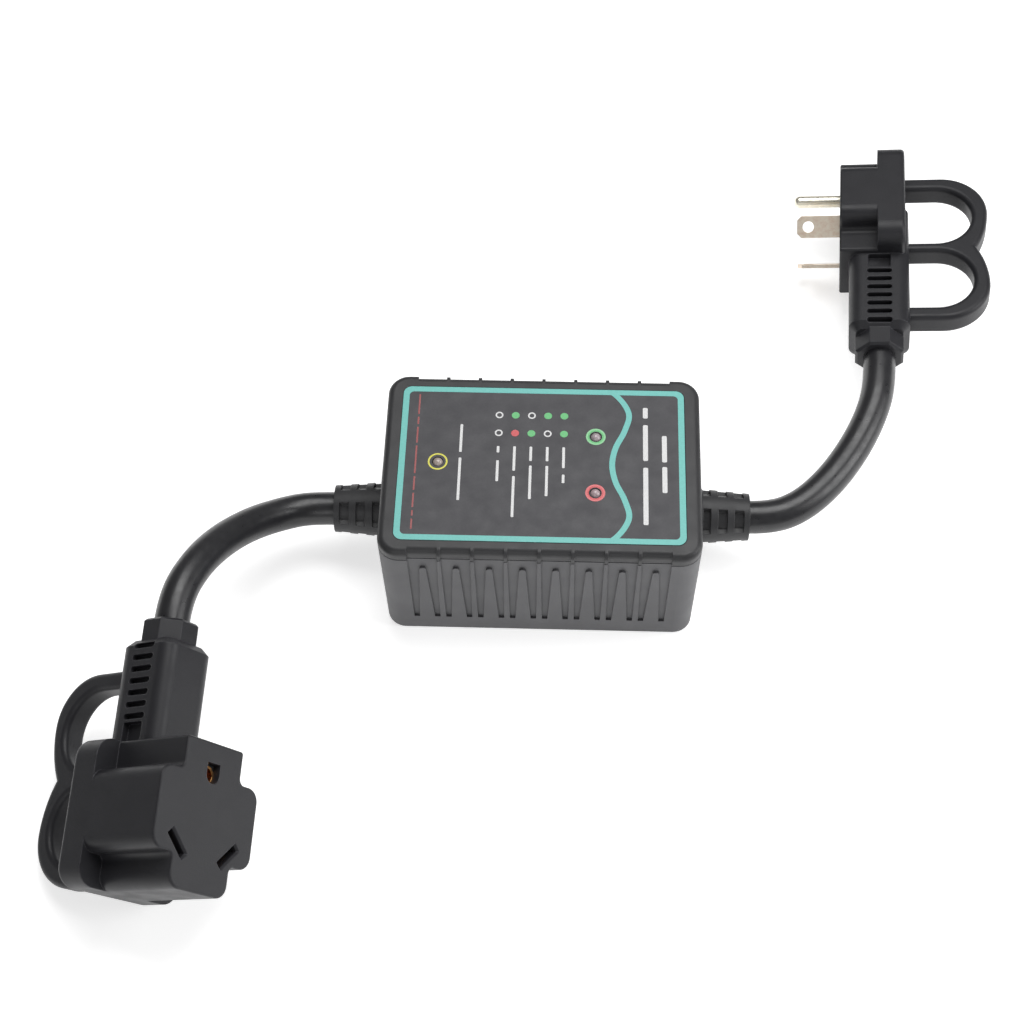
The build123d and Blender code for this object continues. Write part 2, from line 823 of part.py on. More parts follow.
with BuildPart() as plug_housing:
    head_body(plug_block_depth, plug_arm_axis)
    handle(plug_block_depth + slab_depth)
    grip_slots_cut(plug_arm_axis)
    core_disc(plug_core_depth, Mode.SUBTRACT)
    ground_circle(plug_side, 0, ground_radius, face_wall, Mode.SUBTRACT)
    for which in blade_names:
        blade_bar(which, plug_side, 0, blade_width, blade_thickness, face_wall, Mode.SUBTRACT)
plug_housing.part = plug_housing.part.moved(plug_location)
plug_housing.part.label = "plug_housing"
export_step(plug_housing.part, "parts/plug_housing.step")

with BuildPart() as plug_core:
    core_disc(plug_core_depth)
    ground_circle(plug_side, face_wall, ground_radius, contact_root, Mode.SUBTRACT)
    for which in blade_names:
        blade_bar(which, plug_side, face_wall, blade_width, blade_thickness, contact_root, Mode.SUBTRACT)
plug_core.part = plug_core.part.moved(plug_location)
plug_core.part.label = "plug_core"
export_step(plug_core.part, "parts/plug_core.step")

with BuildPart() as plug_ground_pin:
    ground_circle(plug_side, -ground_length, ground_radius, ground_length + face_wall + contact_root)
    fillet(plug_ground_pin.edges().group_by(Axis.X)[0], ground_radius * 0.9)
plug_ground_pin.part = plug_ground_pin.part.moved(plug_location)
plug_ground_pin.part.label = "plug_ground_pin"
export_step(plug_ground_pin.part, "parts/plug_ground_pin.step")

for which, name in blade_names.items():
    with BuildPart() as plug_blade:
        root = face_wall + contact_root
        blade_bar(which, plug_side, -blade_length, blade_width, blade_thickness, blade_length + root)
        tip = plug_blade.faces().sort_by(Axis.X)[0]
        chamfer(tip.edges().sort_by(SortBy.LENGTH)[:2], blade_chamfer)
        across = blade_plane(which, plug_side, blade_hole_inset - blade_length)
        hole_start = across.origin - across.y_dir * blade_thickness
        with BuildSketch(Plane(origin=hole_start, x_dir=(1, 0, 0), z_dir=across.y_dir)):
            Circle(blade_hole_radius)
        extrude(amount=2 * blade_thickness, mode=Mode.SUBTRACT)
    plug_blade.part = plug_blade.part.moved(plug_location)
    plug_blade.part.label = f"plug_{name}_blade"
    export_step(plug_blade.part, f"parts/plug_{name}_blade.step")

entry_width = blade_width + 2 * entry_gap
entry_height = blade_thickness + 2 * entry_gap

with BuildPart() as receptacle_housing:
    head_body(receptacle_block_depth, receptacle_arm_axis)
    handle(receptacle_block_depth + slab_depth)
    grip_slots_cut(receptacle_arm_axis)
    core_disc(receptacle_core_depth, Mode.SUBTRACT)
    # Ground opening: round on the far side, square on the cord's side
    with BuildSketch(Plane.YZ):
        with Locations((receptacle_side * ground_offset, 0)):
            Circle(ground_radius + entry_gap)
        with Locations((receptacle_side * (ground_offset + ground_entry_drop / 2), 0)):
            Rectangle(ground_entry_drop, 2 * (ground_radius + entry_gap))
    extrude(amount=face_wall, mode=Mode.SUBTRACT)
    for which in blade_names:
        blade_bar(which, receptacle_side, 0, entry_width, entry_height, face_wall, Mode.SUBTRACT)
        # Sloped lead-in round the slot
        with BuildSketch(blade_plane(which, receptacle_side)):
            Rectangle(entry_width + 2 * lead_in, entry_height + 2 * lead_in)
        with BuildSketch(blade_plane(which, receptacle_side, lead_in)):
            Rectangle(entry_width, entry_height)
        loft(mode=Mode.SUBTRACT)
receptacle_housing.part = receptacle_housing.part.moved(receptacle_location)
receptacle_housing.part.label = "receptacle_housing"
export_step(receptacle_housing.part, "parts/receptacle_housing.step")

contact_outer = blade_thickness + 2 * spring_thickness
contact_width = blade_width - 2 * contact_inset
contact_start = face_wall + contact_recess
contact_length = receptacle_contact_length - contact_recess

with BuildPart() as receptacle_core:
    core_disc(receptacle_core_depth)
    ground_circle(
        receptacle_side,
        face_wall,
        ground_radius + spring_thickness,
        receptacle_contact_length,
        Mode.SUBTRACT,
    )
    for which in blade_names:
        blade_bar(which, receptacle_side, face_wall, entry_width, entry_height, contact_recess, Mode.SUBTRACT)
        blade_bar(
            which,
            receptacle_side,
            contact_start,
            contact_width,
            contact_outer,
            contact_length,
            Mode.SUBTRACT,
        )
receptacle_core.part = receptacle_core.part.moved(receptacle_location)
receptacle_core.part.label = "receptacle_core"
export_step(receptacle_core.part, "parts/receptacle_core.step")

with BuildPart() as receptacle_ground_contact:
    ground_circle(receptacle_side, face_wall, ground_radius + spring_thickness, receptacle_contact_length)
    ground_circle(
        receptacle_side,
        face_wall,
        ground_radius + pin_gap,
        receptacle_contact_length - contact_end,
        Mode.SUBTRACT,
    )
receptacle_ground_contact.part = receptacle_ground_contact.part.moved(receptacle_location)
receptacle_ground_contact.part.label = "receptacle_ground_contact"
export_step(receptacle_ground_contact.part, "parts/receptacle_ground_contact.step")

for which, name in blade_names.items():
    with BuildPart() as contact:
        blade_bar(which, receptacle_side, contact_start, contact_width, contact_outer, contact_length)
        blade_bar(
            which,
            receptacle_side,
            contact_start,
            contact_width,
            blade_thickness,
            contact_length - contact_end,
            Mode.SUBTRACT,
        )
    contact.part = contact.part.moved(receptacle_location)
    contact.part.label = f"receptacle_{name}_contact"
    export_step(contact.part, f"parts/receptacle_{name}_contact.step")

# ---------------------------------------------------------------------------
# Cords: hand-set routes from each strain relief to the head's collar
# ---------------------------------------------------------------------------


def collar_axis(location, arm_axis, run):
    """A point on the axis of a head's collar, a run out from its end."""
    point = location * Location((arm_axis, arm_end + collar_length + run, 0))
    return tuple(point.position)


relief_reach = case_length / 2 + relief_flange + relief_length
last_run = 17.0
supply_route = [
    (relief_reach, 0, relief_height),
    (relief_reach + 14, 0, relief_height),
    (130, 5.8, 28.5),
    (144, 18.6, 29.6),
    (154.8, 35.8, 31.1),
    (162.2, 55, 33.3),
    collar_axis(plug_location, plug_arm_axis, last_run),
    collar_axis(plug_location, plug_arm_axis, 0),
]
load_route = [
    (-relief_reach, 0, relief_height),
    (-relief_reach - 14, 0, relief_height),
    (-130, -5.6, 32.4),
    (-144, -17.6, 41.2),
    (-154.8, -32.6, 51),
    (-161, -49, 58),
    collar_axis(receptacle_location, receptacle_arm_axis, last_run),
    collar_axis(receptacle_location, receptacle_arm_axis, 0),
]


def cord_tube(route):
    """A round tube along the route, each corner an arc as large as its two runs allow."""
    points = [Vector(*p) for p in route]
    runs = [(b - a).length for a, b in zip(points, points[1:])]
    radii = []
    for i in range(1, len(points) - 1):
        turn = (points[i] - points[i - 1]).get_angle(points[i + 1] - points[i])
        radii.append(0.45 * min(runs[i - 1], runs[i]) / tan(radians(turn / 2)))
    with BuildLine():
        path = FilletPolyline(*route, radius=radii)
    with BuildSketch(Plane(origin=path @ 0, z_dir=path % 0)) as round_section:
        Circle(cord_diameter / 2)
    sweep(round_section.sketch, path=path)
    print("cord radii", [round(r, 1) for r in radii], "length", round(path.length, 1))
    return path.length


with BuildPart() as supply_cord:
    supply_length = cord_tube(supply_route)
supply_cord.part.label = "supply_cord"
export_step(supply_cord.part, "parts/supply_cord.step")

with BuildPart() as load_cord:
    load_length = cord_tube(load_route)
load_cord.part.label = "load_cord"
export_step(load_cord.part, "parts/load_cord.step")

section = pi * (cord_diameter / 2) ** 2
for piece, length in ((supply_cord, supply_length), (load_cord, load_length)):
    ratio = piece.part.volume / (section * length)
    print(piece.part.label, "volume over section times length", round(ratio, 4))
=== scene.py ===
from math import cos, pi, radians, sin

import bmesh
import bpy
from mathutils import Matrix, Vector


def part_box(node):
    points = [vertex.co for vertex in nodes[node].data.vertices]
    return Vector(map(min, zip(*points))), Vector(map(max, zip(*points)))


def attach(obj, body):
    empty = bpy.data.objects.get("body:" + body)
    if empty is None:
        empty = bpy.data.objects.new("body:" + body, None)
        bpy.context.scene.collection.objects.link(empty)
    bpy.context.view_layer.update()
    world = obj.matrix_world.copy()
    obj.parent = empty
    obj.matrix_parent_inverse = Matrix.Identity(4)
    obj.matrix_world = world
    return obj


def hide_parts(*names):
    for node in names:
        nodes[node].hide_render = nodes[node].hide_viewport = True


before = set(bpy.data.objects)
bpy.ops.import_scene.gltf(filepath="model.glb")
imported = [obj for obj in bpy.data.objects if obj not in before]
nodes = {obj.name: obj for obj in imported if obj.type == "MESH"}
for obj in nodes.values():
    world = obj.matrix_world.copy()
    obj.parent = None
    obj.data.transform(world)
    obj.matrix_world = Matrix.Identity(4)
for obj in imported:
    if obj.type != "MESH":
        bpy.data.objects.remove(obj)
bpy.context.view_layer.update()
MM = 0.001

# ---------------------------------------------------------------------------
# Camera, light and floor
# ---------------------------------------------------------------------------

CAMERA_PLACE = Vector((9.7, -475.9, 786.6)) * MM
CAMERA_YAW = radians(-2.88)
CAMERA_TILT = radians(57.86)
CAMERA_ROLL = radians(-1.23)
CAMERA_LENS = 65.1
FLOOR_SIZE = 6.0
FLOOR_SHADE = 0.92
FLOOR_GLOW = 0.6
WORLD_STRENGTH = 0.18
LIGHTS_AIM = Vector((0, 0, 0.03))

# Each light's place, its size and its power in watts
SOFTBOXES = {
    "front_softbox": ((-0.35, -1.3, 0.75), (1.1, 0.7), 3.5),
    "top_softbox": ((0.2, 0.5, 1.5), (1.2, 0.9), 17),
    "right_softbox": ((1.2, -0.1, 0.7), (0.6, 0.9), 8),
}


def camera():
    """A camera above the front, looking down, with a slight turn and roll."""
    forward = Vector((
        sin(CAMERA_YAW) * cos(CAMERA_TILT),
        cos(CAMERA_YAW) * cos(CAMERA_TILT),
        -sin(CAMERA_TILT),
    ))
    level = Vector((cos(CAMERA_YAW), -sin(CAMERA_YAW), 0))
    above = level.cross(forward)
    right = level * cos(CAMERA_ROLL) + above * sin(CAMERA_ROLL)
    up = above * cos(CAMERA_ROLL) - level * sin(CAMERA_ROLL)
    data = bpy.data.cameras.new("camera")
    data.lens = CAMERA_LENS
    data.sensor_width = 36
    data.clip_start = 0.01
    holder = bpy.data.objects.new("camera", data)
    turn = Matrix((right, up, -forward)).transposed().to_4x4()
    holder.matrix_world = Matrix.Translation(CAMERA_PLACE) @ turn
    bpy.context.scene.collection.objects.link(holder)
    bpy.context.scene.camera = holder


def softbox(name, place, size, power):
    """A large soft light that looks at the case."""
    data = bpy.data.lights.new(name, "AREA")
    data.shape = "RECTANGLE"
    data.size, data.size_y = size
    data.energy = power
    holder = bpy.data.objects.new(name, data)
    holder.location = place
    holder.rotation_euler = (LIGHTS_AIM - Vector(place)).to_track_quat("-Z", "Y").to_euler()
    bpy.context.scene.collection.objects.link(holder)


def studio():
    """White surroundings, three softboxes and a pale floor."""
    world = bpy.data.worlds.new("studio")
    world.use_nodes = True
    background = world.node_tree.nodes["Background"]
    background.inputs["Color"].default_value = (1.0, 1.0, 1.0, 1)
    background.inputs["Strength"].default_value = WORLD_STRENGTH
    bpy.context.scene.world = world
    for name, (place, size, power) in SOFTBOXES.items():
        softbox(name, place, size, power)
    bpy.context.scene.view_settings.view_transform = "Standard"
    mesh = bpy.data.meshes.new("floor")
    far = FLOOR_SIZE / 2
    corners = [(-far, -far, 0), (far, -far, 0), (far, far, 0), (-far, far, 0)]
    mesh.from_pydata(corners, [], [(0, 1, 2, 3)])
    floor = bpy.data.objects.new("floor", mesh)
    bpy.context.scene.collection.objects.link(floor)
    material = bpy.data.materials.new("pale_floor")
    material.use_nodes = True
    shader = material.node_tree.nodes["Principled BSDF"]
    shader.inputs["Base Color"].default_value = (FLOOR_SHADE, FLOOR_SHADE, FLOOR_SHADE, 1)
    shader.inputs["Roughness"].default_value = 0.7
    shader.inputs["Emission Color"].default_value = (1, 1, 1, 1)
    shader.inputs["Emission Strength"].default_value = FLOOR_GLOW
    mesh.materials.append(material)


# ---------------------------------------------------------------------------
# Materials
# ---------------------------------------------------------------------------


def node(tree, kind, inputs=None, **settings):
    """A shader node with settings and input values; an input that is a socket is linked."""
    made = tree.nodes.new(kind)
    for name, value in settings.items():
        setattr(made, name, value)
    for name, value in (inputs or {}).items():
        if isinstance(value, bpy.types.NodeSocket):
            tree.links.new(value, made.inputs[name])
        else:
            made.inputs[name].default_value = value
    return made


def blank(name, roughness, **sockets):
    """A material with its Principled shader's plain sockets set."""
    material = bpy.data.materials.new(name)
    material.use_nodes = True
    shader = material.node_tree.nodes["Principled BSDF"]
    shader.inputs["Roughness"].default_value = roughness
    for socket, value in sockets.items():
        shader.inputs[socket.replace("_", " ")].default_value = value
    return material, material.node_tree, shader


def cloud(tree, size, detail=2.0):
    """Soft noise with features of about this size, in metres."""
    place = node(tree, "ShaderNodeTexCoord").outputs["Object"]
    inputs = {"Vector": place, "Scale": 1 / size, "Detail": detail}
    return node(tree, "ShaderNodeTexNoise", inputs).outputs["Fac"]


def spread(tree, factor, low, high):
    """A number between low and high that follows the middle of a noise."""
    inputs = {"Value": factor, "From Min": 0.3, "From Max": 0.7, "To Min": low, "To Max": high}
    return node(tree, "ShaderNodeMapRange", inputs).outputs["Result"]


def mixed(tree, factor, first, second):
    """A colour between two colours."""
    made = node(tree, "ShaderNodeMix", {"Factor": factor}, data_type="RGBA")
    for socket, colour in ((made.inputs[6], first), (made.inputs[7], second)):
        if isinstance(colour, bpy.types.NodeSocket):
            tree.links.new(colour, socket)
        else:
            socket.default_value = (*colour, 1)
    return made.outputs[2]


def edge_mask(tree, radius):
    """One along sharp edges and nought on the flats, with the rounded normal that finds them."""
    rounded = node(tree, "ShaderNodeBevel", {"Radius": radius}, samples=6).outputs["Normal"]
    plain = node(tree, "ShaderNodeNewGeometry").outputs["Normal"]
    both = {0: rounded, 1: plain}
    alike = node(tree, "ShaderNodeVectorMath", both, operation="DOT_PRODUCT").outputs["Value"]
    inputs = {"Value": alike, "From Min": 0.99, "From Max": 0.8, "To Min": 0.0, "To Max": 1.0}
    return node(tree, "ShaderNodeMapRange", inputs).outputs["Result"], rounded


def shaded(colour, factor):
    """A colour made darker or paler."""
    return tuple(c * factor for c in colour)


def bumped(tree, shader, height, distance, strength, **more):
    """Gives the shader a bump from a height."""
    inputs = {"Height": height, "Distance": distance, "Strength": strength, **more}
    tree.links.new(node(tree, "ShaderNodeBump", inputs).outputs["Normal"], shader.inputs["Normal"])


def moulded(name, colour, roughness, grain, depth, edge=0.5 * MM, edge_highlight=1.6, patch=18 * MM, **sockets):
    """Moulded plastic: a fine grain, cloudy colour and gloss, and paler edges that are a painted
    highlight.
    """
    material, tree, shader = blank(name, roughness, **sockets)
    body = mixed(tree, cloud(tree, patch, 3.0), shaded(colour, 0.86), shaded(colour, 1.16))
    # Painted highlight: the colour is made paler along sharp edges, in noisy patches, to stand for light
    # catching the rounded edges.
    edges, rounded = edge_mask(tree, edge)
    both = {0: edges, 1: spread(tree, cloud(tree, 5 * MM), 0.15, 0.8)}
    painted_edge_highlight = node(tree, "ShaderNodeMath", both, operation="MULTIPLY").outputs[0]
    tree.links.new(mixed(tree, painted_edge_highlight, body, shaded(colour, edge_highlight)), shader.inputs["Base Color"])
    gloss = spread(tree, cloud(tree, 9 * MM), roughness - 0.05, roughness + 0.06)
    tree.links.new(gloss, shader.inputs["Roughness"])
    bumped(tree, shader, cloud(tree, grain, 4.0), depth, 0.6, Normal=rounded)
    return material


def ink(name, colour):
    """Screen-printed ink: slightly uneven cover and a satin film."""
    material, tree, shader = blank(name, 0.42, Coat_Weight=0.15)
    cover = spread(tree, cloud(tree, 0.7 * MM, 4.0), 0.0, 1.0)
    tree.links.new(mixed(tree, cover, shaded(colour, 0.9), colour), shader.inputs["Base Color"])
    bumped(tree, shader, cloud(tree, 0.3 * MM), 0.01 * MM, 0.4)
    return material


def metal(name, colour, stain, roughness, speck):
    """Drawn and plated metal: stained patches, fine specks and a fine noisy bump."""
    material, tree, shader = blank(name, roughness, Metallic=1.0)
    patches = spread(tree, cloud(tree, 2.4 * MM, 5.0), 0.0, 0.9)
    specks = spread(tree, cloud(tree, speck, 3.0), 0.0, 0.6)
    body = mixed(tree, patches, colour, stain)
    tree.links.new(mixed(tree, specks, body, colour), shader.inputs["Base Color"])
    gloss = spread(tree, cloud(tree, 1.1 * MM, 4.0), roughness - 0.08, roughness + 0.14)
    tree.links.new(gloss, shader.inputs["Roughness"])
    rounded = edge_mask(tree, 0.3 * MM)[1]
    bumped(tree, shader, cloud(tree, 0.8 * MM, 5.0), 0.01 * MM, 0.3, Normal=rounded)
    return material


def lens(name, colour):
    """A milky indicator lens, off."""
    material, tree, shader = blank(name, 0.22, Transmission_Weight=0.08, IOR=1.49, Coat_Weight=0.5)
    milk = spread(tree, cloud(tree, 1.2 * MM, 3.0), 0.0, 1.0)
    tree.links.new(mixed(tree, milk, shaded(colour, 0.8), colour), shader.inputs["Base Color"])
    return material


def jacket(name, colour, roughness):
    """Extruded cord jacket: a satin skin with faint waviness and dust."""
    material, tree, shader = blank(name, roughness, Coat_Weight=0.08, Coat_Roughness=0.35)
    clouds = cloud(tree, 12 * MM, 4.0)
    dust = spread(tree, cloud(tree, 0.9 * MM, 6.0), 0.0, 0.12)
    body = mixed(tree, clouds, shaded(colour, 0.85), shaded(colour, 1.15))
    tree.links.new(mixed(tree, dust, body, shaded(colour, 1.9)), shader.inputs["Base Color"])
    gloss = spread(tree, cloud(tree, 4 * MM), roughness - 0.06, roughness + 0.06)
    tree.links.new(gloss, shader.inputs["Roughness"])
    bumped(tree, shader, cloud(tree, 2.6 * MM, 3.0), 0.05 * MM, 0.3)
    return material


def dress(material, *names):
    """Gives CAD nodes a material; their meshes stay as they are."""
    for name in names:
        slots = nodes[name].data.materials
        slots.clear()
        slots.append(material)


def dress_outside():
    """The case, the label, the heads and the sleeves."""
    # Each plastic's paler edges are a painted highlight; the head vinyl's is the strongest.
    base = moulded(
        "base_plastic",
        (0.085, 0.085, 0.090),
        roughness=0.55,
        grain=0.45 * MM,
        depth=0.06 * MM,
        edge=0.35 * MM,
        edge_highlight=1.5,
    )
    cover = moulded(
        "cover_plastic",
        (0.034, 0.034, 0.036),
        roughness=0.42,
        grain=0.45 * MM,
        depth=0.05 * MM,
        edge_highlight=1.8,
        Specular_IOR_Level=0.35,
    )
    film = moulded(
        "label_film",
        (0.045, 0.044, 0.050),
        roughness=0.5,
        grain=0.3 * MM,
        depth=0.015 * MM,
        edge=0.2 * MM,
        edge_highlight=1.1,
        patch=1.2 * MM,
    )
    vinyl = moulded(
        "head_vinyl",
        (0.021, 0.021, 0.024),
        roughness=0.42,
        grain=0.5 * MM,
        depth=0.11 * MM,
        edge=0.7 * MM,
        edge_highlight=4.5,
        Specular_IOR_Level=0.3,
    )
    sleeve = moulded(
        "sleeve_rubber",
        (0.034, 0.034, 0.036),
        roughness=0.45,
        grain=0.5 * MM,
        depth=0.08 * MM,
        edge=0.6 * MM,
        edge_highlight=2.4,
        Specular_IOR_Level=0.35,
    )
    dress(base, "case_base")
    dress(cover, "case_cover")
    dress(film, "label_plate")
    dress(vinyl, "plug_housing", "receptacle_housing")
    dress(sleeve, "supply_strain_relief", "load_strain_relief")


def dress_contacts():
    """The metal pieces."""
    pin = metal("pin_plate", (0.90, 0.87, 0.76), (0.80, 0.73, 0.56), 0.34, 1.2 * MM)
    blade = metal("blade_brass", (0.95, 0.86, 0.73), (0.78, 0.60, 0.46), 0.40, 0.8 * MM)
    spring = metal("spring_brass", (0.80, 0.42, 0.16), (0.45, 0.22, 0.08), 0.32, 0.4 * MM)
    steel = metal("zinc_steel", (0.62, 0.62, 0.64), (0.42, 0.42, 0.45), 0.35, 0.5 * MM)
    dress(pin, "plug_ground_pin")
    dress(blade, "plug_line_blade", "plug_neutral_blade")
    dress(spring, "receptacle_ground_contact", "receptacle_line_contact", "receptacle_neutral_contact")
    dress(spring, "line_bar", "neutral_bar", "ground_bar")
    dress(steel, "case_screws", "board_screws", "board_links")


def dress_inside():
    """The lamps and what the case holds."""
    insulator = moulded("insulator", (0.02, 0.02, 0.021), 0.6, 0.6 * MM, 0.05 * MM)
    dress(insulator, "plug_core", "receptacle_core", "terminal_block", "led_spacers")
    dress(moulded("gasket_rubber", (0.012, 0.012, 0.012), 0.75, 0.7 * MM, 0.05 * MM), "cover_gasket")
    dress(moulded("solder_mask", (0.02, 0.13, 0.05), 0.4, 0.8 * MM, 0.02 * MM), "circuit_board")
    dress(lens("green_lens", (0.50, 0.42, 0.45)), "green_led")
    dress(lens("red_lens", (0.52, 0.40, 0.42)), "red_led")
    dress(lens("amber_lens", (0.50, 0.42, 0.38)), "amber_led")
    varistors = ("line_neutral_varistor", "line_ground_varistor", "neutral_ground_varistor")
    dress(moulded("varistor_epoxy", (0.03, 0.07, 0.28), 0.3, 2 * MM, 0.1 * MM), *varistors)
    dress(moulded("fuse_ceramic", (0.6, 0.58, 0.52), 0.5, 0.5 * MM, 0.02 * MM), "thermal_fuses")
    dress(moulded("resistor_lacquer", (0.42, 0.30, 0.17), 0.35, 0.5 * MM, 0.02 * MM), "led_resistors")
    wire = moulded("wire_vinyl", (0.03, 0.03, 0.03), 0.4, 1.0 * MM, 0.03 * MM)
    dress(wire, "supply_conductors", "load_conductors")


# ---------------------------------------------------------------------------
# Printed label: thin films of ink standing on the label plate, and pale rims round the green and red lamps
# that are painted highlight
# ---------------------------------------------------------------------------

INK = 0.05 * MM
LABEL_LOW, LABEL_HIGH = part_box("label_plate")
LABEL_TOP = LABEL_HIGH.z
BORDER = 2.9 * MM
LABEL_CORNER = 4.0 * MM
BORDER_CORNER = 2.2 * MM
WAVE = 2.7 * MM
ROUND_STEPS = 12

# Half of the wavy divider, from beyond the border to the label's middle line, in millimetres
WAVE_HALF = ((20.0, 46.0), (33.0, 40.8), (40.3, 29.8), (38.6, 19.5), (34.3, 9.5), (32.7, 0.0))


def circle(centre, radius, steps=64):
    """A circle's outline, anticlockwise."""
    turns = [2 * pi * i / steps for i in range(steps)]
    return [(centre[0] + radius * cos(turn), centre[1] + radius * sin(turn)) for turn in turns]


def rounded_box(low, high, radius):
    """A rectangle's outline with round corners, anticlockwise."""
    corners = (
        (high[0] - radius, high[1] - radius),
        (low[0] + radius, high[1] - radius),
        (low[0] + radius, low[1] + radius),
        (high[0] - radius, low[1] + radius),
    )
    points = []
    for quarter, (x, y) in enumerate(corners):
        for i in range(ROUND_STEPS + 1):
            angle = pi / 2 * (quarter + i / ROUND_STEPS)
            points.append((x + radius * cos(angle), y + radius * sin(angle)))
    return points


def film(mesh, outer, inner=None, lift=0.0):
    """A thin closed film with this outline, of ink or of painted highlight, and a hole with as many points
    if one is given.
    """
    bottom, top = LABEL_TOP, LABEL_TOP + INK + lift
    count = len(outer)
    low = [mesh.verts.new((x, y, bottom)) for x, y in outer]
    high = [mesh.verts.new((x, y, top)) for x, y in outer]
    if inner is None:
        mesh.faces.new(high)
        mesh.faces.new(reversed(low))
    else:
        low_in = [mesh.verts.new((x, y, bottom)) for x, y in inner]
        high_in = [mesh.verts.new((x, y, top)) for x, y in inner]
    for i in range(count):
        j = (i + 1) % count
        mesh.faces.new((low[i], low[j], high[j], high[i]))
        if inner is not None:
            mesh.faces.new((high_in[i], high_in[j], low_in[j], low_in[i]))
            mesh.faces.new((high[i], high[j], high_in[j], high_in[i]))
            mesh.faces.new((low[j], low[i], low_in[i], low_in[j]))


def smooth_line(points, steps=14):
    """A Catmull-Rom curve through the points, which has its ends at the second and the last but one."""
    line = []
    for a, b, c, d in zip(points, points[1:], points[2:], points[3:]):
        a, b, c, d = (Vector(p) for p in (a, b, c, d))
        for i in range(steps):
            t = i / steps
            square = (2 * a - 5 * b + 4 * c - d) * t**2
            cube = (3 * b - a - 3 * c + d) * t**3
            line.append((2 * b + (c - a) * t + square + cube) / 2)
    line.append(Vector(points[-2]))
    return line


def ribbon(mesh, line, width):
    """A band of ink along a line."""
    left, right = [], []
    for i, point in enumerate(line):
        along = line[min(i + 1, len(line) - 1)] - line[max(i - 1, 0)]
        across = Vector((-along.y, along.x)).normalized() * width / 2
        left.append(point + across)
        right.append(point - across)
    film(mesh, [tuple(p) for p in right] + [tuple(p) for p in reversed(left)], lift=INK / 5)


def printed(name, material, draw):
    """A piece of ink that draw fills, riding on the case."""
    data = bpy.data.meshes.new(name)
    mesh = bmesh.new()
    draw(mesh)
    bmesh.ops.recalc_face_normals(mesh, faces=mesh.faces)
    bmesh.ops.triangulate(mesh, faces=[f for f in mesh.faces if len(f.verts) > 4])
    mesh.to_mesh(data)
    mesh.free()
    data.materials.append(material)
    piece = bpy.data.objects.new(name, data)
    bpy.context.scene.collection.objects.link(piece)
    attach(piece, "root")


def lamp_place(name):
    """The middle of a lamp, seen from above."""
    low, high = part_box(name)
    return ((low.x + high.x) / 2, (low.y + high.y) / 2)


# The legend: columns of two dots with dashes below that stand for the words. BARS has the
# dashes' starts and ends below BAR_TOP, in millimetres
LEGEND_PITCH = 7.65 * MM
LEGEND_FIRST = -20.5 * MM
LEGEND_ROWS = (27.0 * MM, 16.8 * MM)
LEGEND = (("white", "white"), ("green", "red"), ("white", "green"), ("green", "white"), ("green", "green"))
BAR_TOP = 9.3 * MM
BARS = (
    ((0, 3.6), (8.0, 19.6)),
    ((0, 13.6), (16.6, 38.9)),
    ((0, 8.0), (10.6, 29.0)),
    ((0, 8.0), (10.6, 27.2)),
    ((0, 11.6), (15.2, 19.9)),
)
BAR_WIDTH = 1.25 * MM
TITLE_WIDTH = 2.3 * MM
DOT = 1.85 * MM
DOT_HOLE = 0.62 * DOT

# The other words: x, the dashes' width, and their starts and ends along y, in millimetres
WORDING = (
    (-38.0, BAR_WIDTH, ((21.3, 5.6), (2.4, -21.0))),
    (48.2, TITLE_WIDTH, ((32.7, 26.6), (22.8, 2.6), (-1.2, -32.4))),
    (57.0, TITLE_WIDTH, ((16.8, 2.0), (-0.6, -14.9))),
)

# The row of small dashes along the label's left end, in millimetres
CAUTION_X = -58.6
CAUTION_TOP = 38.2
CAUTION_GAP = 1.6
CAUTION_WIDTH = 0.8
CAUTION_LENGTHS = (11.5, 4.2, 9.0, 15.5, 7.6, 7.8, 3.0, 5.4)

# Radii of the two bands round a lamp: the inner one is ink; the outer one is ink on the amber lamp and a
# painted highlight on the green and red lamps
HOLE = 3.0 * MM
RING = 3.8 * MM
RIM = 4.6 * MM


def bar(mesh, x, start, end, width):
    """A bar across the label, from start down to end."""
    film(mesh, rounded_box((x - width / 2, end), (x + width / 2, start), width * 0.3))


def draw_border(mesh):
    """The frame round the label's edge."""
    low, high = LABEL_LOW, LABEL_HIGH
    outer = rounded_box((low.x, low.y), (high.x, high.y), LABEL_CORNER)
    within = (low.x + BORDER, low.y + BORDER), (high.x - BORDER, high.y - BORDER)
    film(mesh, outer, rounded_box(*within, BORDER_CORNER))


def draw_wave(mesh):
    """The wavy divider, the same on both sides of the label's middle line."""
    line = list(WAVE_HALF) + [(x, -y) for x, y in reversed(WAVE_HALF[:-1])]
    ribbon(mesh, smooth_line([(x * MM, y * MM) for x, y in line]), WAVE)


def draw_dots(colour):
    """The legend's dots of one colour; the white ones are rings."""

    def draw(mesh):
        for column, pair in enumerate(LEGEND):
            for y, wanted in zip(LEGEND_ROWS, pair):
                centre = (LEGEND_FIRST + column * LEGEND_PITCH, y)
                if wanted == colour == "white":
                    film(mesh, circle(centre, DOT), circle(centre, DOT_HOLE))
                elif wanted == colour:
                    film(mesh, circle(centre, DOT))

    return draw


def draw_wording(mesh):
    """Plain bars where the wording stands, one dash for a word."""
    draw_dots("white")(mesh)
    for column, dashes in enumerate(BARS):
        for start, end in dashes:
            x = LEGEND_FIRST + column * LEGEND_PITCH
            bar(mesh, x, BAR_TOP - start * MM, BAR_TOP - end * MM, BAR_WIDTH)
    for x, width, dashes in WORDING:
        for start, end in dashes:
            bar(mesh, x * MM, start * MM, end * MM, width)


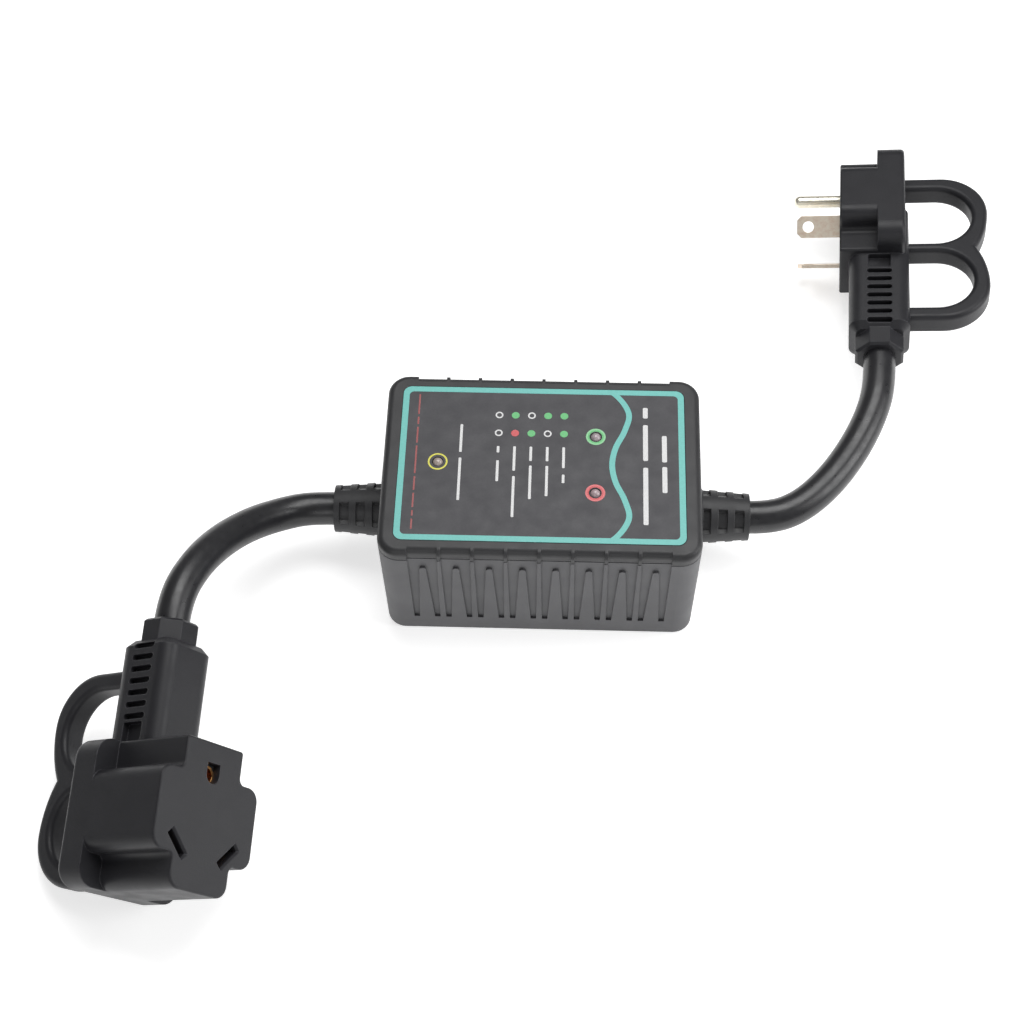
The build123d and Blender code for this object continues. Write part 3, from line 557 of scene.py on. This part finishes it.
def draw_caution(mesh):
    """A row of small dashes along the label's left end."""
    start = CAUTION_TOP
    for length in CAUTION_LENGTHS:
        bar(mesh, CAUTION_X * MM, start * MM, (start - length) * MM, CAUTION_WIDTH * MM)
        start -= length + CAUTION_GAP


def draw_bezel(lamp, inner, outer):
    """A ring round a lamp, of ink or of painted highlight."""
    return lambda mesh: film(mesh, circle(lamp_place(lamp), outer), circle(lamp_place(lamp), inner))


def label_print():
    """Every piece of ink on the label, and the painted highlight rims round the green and red lamps."""
    teal = ink("teal_ink", (0.125, 0.52, 0.47))
    white = ink("white_ink", (0.72, 0.72, 0.72))
    green = ink("green_ink", (0.10, 0.50, 0.16))
    red = ink("red_ink", (0.62, 0.06, 0.07))
    dim_red = ink("dim_red_ink", (0.30, 0.035, 0.035))
    printed("label_border", teal, draw_border)
    printed("label_wave", teal, draw_wave)
    printed("legend_green", green, draw_dots("green"))
    printed("legend_red", red, draw_dots("red"))
    printed("legend_white", white, draw_wording)
    printed("caution_bar", dim_red, draw_caution)
    # The pale green and pale red rims are painted highlight: paler rings that stand for light on the
    # lamps' bezels.
    green_highlight = ink("painted_green_highlight", (0.24, 0.60, 0.29))
    red_highlight = ink("painted_red_highlight", (0.72, 0.13, 0.14))
    yellow = ink("yellow_ink", (0.72, 0.68, 0.05))
    printed("green_lamp_highlight_rim", green_highlight, draw_bezel("green_led", RING, RIM))
    printed("green_lamp_ring", green, draw_bezel("green_led", HOLE, RING))
    printed("red_lamp_highlight_rim", red_highlight, draw_bezel("red_led", RING, RIM))
    printed("red_lamp_ring", red, draw_bezel("red_led", HOLE, RING))
    printed("amber_lamp_rim", yellow, draw_bezel("amber_led", RING, RIM))


# ---------------------------------------------------------------------------
# Cords: each follows its tube's points, in millimetres here
# ---------------------------------------------------------------------------

CORD = 16 * MM
SUPPLY_ROUTE = [
    (99.6, 0, 28),
    (111, 0, 28),
    (125.5, 6.5, 28.4),
    (140, 20.5, 29.5),
    (152.5, 38.5, 31.1),
    (162, 57.5, 33.3),
    (167.1, 74.9, 35.3),
    (168.3, 91.9, 34.9),
]
LOAD_ROUTE = [
    (-99.6, 0, 28),
    (-112, 0, 28),
    (-125, -5.5, 31),
    (-137.5, -15.5, 38),
    (-148.5, -30, 47),
    (-157.3, -48, 55.5),
    (-163.9, -68, 58.9),
    (-164.5, -81, 56.2),
]


def cord(name, route, material):
    """A round cord on one smooth line from its strain relief to its head."""
    data = bpy.data.curves.new(name, "CURVE")
    data.dimensions = "3D"
    data.bevel_depth = CORD / 2
    data.bevel_resolution = 10
    data.resolution_u = 16
    data.use_fill_caps = True
    spline = data.splines.new("NURBS")
    spline.points.add(len(route) - 1)
    for point, place in zip(spline.points, route):
        point.co = (*(Vector(place) * MM), 1)
    spline.order_u = 3
    spline.use_endpoint_u = True
    data.materials.append(material)
    piece = bpy.data.objects.new(name + "_jacket", data)
    bpy.context.scene.collection.objects.link(piece)
    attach(piece, "root")
    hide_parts(name)


def cords():
    """Both cords, each with its head."""
    vinyl = jacket("cord_vinyl", (0.016, 0.016, 0.018), 0.33)
    cord("supply_cord", SUPPLY_ROUTE, vinyl)
    cord("load_cord", LOAD_ROUTE, vinyl)


camera()
studio()
dress_outside()
dress_contacts()
dress_inside()
label_print()
cords()
